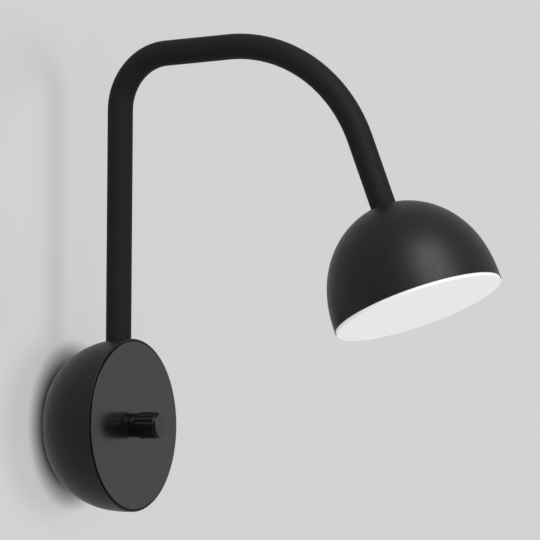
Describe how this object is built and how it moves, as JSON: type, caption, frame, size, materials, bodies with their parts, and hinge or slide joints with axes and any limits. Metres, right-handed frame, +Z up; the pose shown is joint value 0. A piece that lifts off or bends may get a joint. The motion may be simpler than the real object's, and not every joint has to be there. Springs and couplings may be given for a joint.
{
  "type": "wall sconce",
  "caption": "Wall light with a half-dome base and dimmer knob, a flexible neck that arches over, and a half-dome downlight head with an opal diffuser.",
  "frame": {"origin": "on the wall plane, midway between the two wall screw slots, which is the bowl's axis", "axes": "+Y into the wall, -Y out into the room, +Z up, +X to the right as seen from the room"},
  "size_m": [0.1312, 0.3574, 0.3605],
  "materials": {
    "black_paint": "satin black powder coat",
    "disc_paint": "matt charcoal powder coat",
    "knob_black": "black anodised, turned and fluted",
    "sleeve_rubber": "matt black silicone rubber",
    "core_steel": "flexible spiral-wound steel",
    "lead_pvc": "matt black cable jacket",
    "opal": "satin opal white acrylic",
    "white_reflector": "bright white",
    "board_white": "white solder mask",
    "chip_phosphor": "yellow phosphor",
    "white_plastic": "moulded white plastic",
    "grommet_rubber": "soft black rubber",
    "bare_aluminium": "machined",
    "zinc_steel": "bright zinc plated",
    "brass": "plain brass",
    "dark_plastic": "moulded black"
  },
  "bodies": {
    "base": {"base_bowl": "black_paint", "front_disc": "disc_paint", "disc_clips": "zinc_steel", "dimmer_body": "dark_plastic", "dimmer_nut": "zinc_steel", "chassis_plate": "zinc_steel", "chassis_screws": "zinc_steel", "pillar_screws": "zinc_steel", "pillars": "zinc_steel", "wall_plate": "zinc_steel", "earth_screw": "brass", "cable_grommet": "grommet_rubber", "terminal_block": "white_plastic", "terminal_screws": "brass", "led_driver": "white_plastic", "driver_screws": "zinc_steel", "neck_socket": "bare_aluminium", "socket_screws": "zinc_steel"},
    "knob": {"knob_body": "knob_black", "knob_face_disc": "disc_paint", "dimmer_shaft": "zinc_steel"},
    "riser": {"neck_stem": "zinc_steel", "neck_circlip": "zinc_steel", "riser_sleeve": "sleeve_rubber", "riser_core": "core_steel", "riser_lead": "lead_pvc", "lower_bend_sleeve": "sleeve_rubber", "lower_bend_core": "core_steel", "lower_bend_lead": "lead_pvc"},
    "bridge": {"bridge_sleeve": "sleeve_rubber", "bridge_core": "core_steel", "bridge_lead": "lead_pvc", "upper_bend_sleeve": "sleeve_rubber", "upper_bend_core": "core_steel", "upper_bend_lead": "lead_pvc"},
    "head": {"drop_sleeve": "sleeve_rubber", "drop_core": "core_steel", "drop_lead": "lead_pvc", "head_fitting": "zinc_steel", "dome_washer": "zinc_steel", "head_nut": "zinc_steel", "head_dome": "black_paint", "heat_sink": "bare_aluminium", "led_board": "board_white", "led_chips": "chip_phosphor", "board_screws": "zinc_steel", "board_connector": "white_plastic", "reflector": "white_reflector", "diffuser": "opal"}
  },
  "joints": [
    {"name": "dimmer_turn", "type": "hinge", "parent": "base", "child": "knob", "pos_m": [0, -0.0536, 0], "axis": [0, -1, 0], "range_deg": [0, 270]},
    {"name": "neck_swing", "type": "hinge", "parent": "base", "child": "riser", "pos_m": [0, -0.0393, 0.05], "axis": [0, 0, 1], "range_deg": [-60, 60]},
    {"name": "lower_bend", "type": "hinge", "parent": "riser", "child": "bridge", "pos_m": [0, -0.0537, 0.26589], "axis": [1, 0, 0], "range_deg": [-25, 15], "deforming": ["lower_bend_sleeve", "lower_bend_core", "lower_bend_lead"]},
    {"name": "upper_bend", "type": "hinge", "parent": "bridge", "child": "head", "pos_m": [0, -0.1982, 0.26117], "axis": [1, 0, 0], "range_deg": [-35, 20], "deforming": ["upper_bend_sleeve", "upper_bend_core", "upper_bend_lead"]}
  ]
}
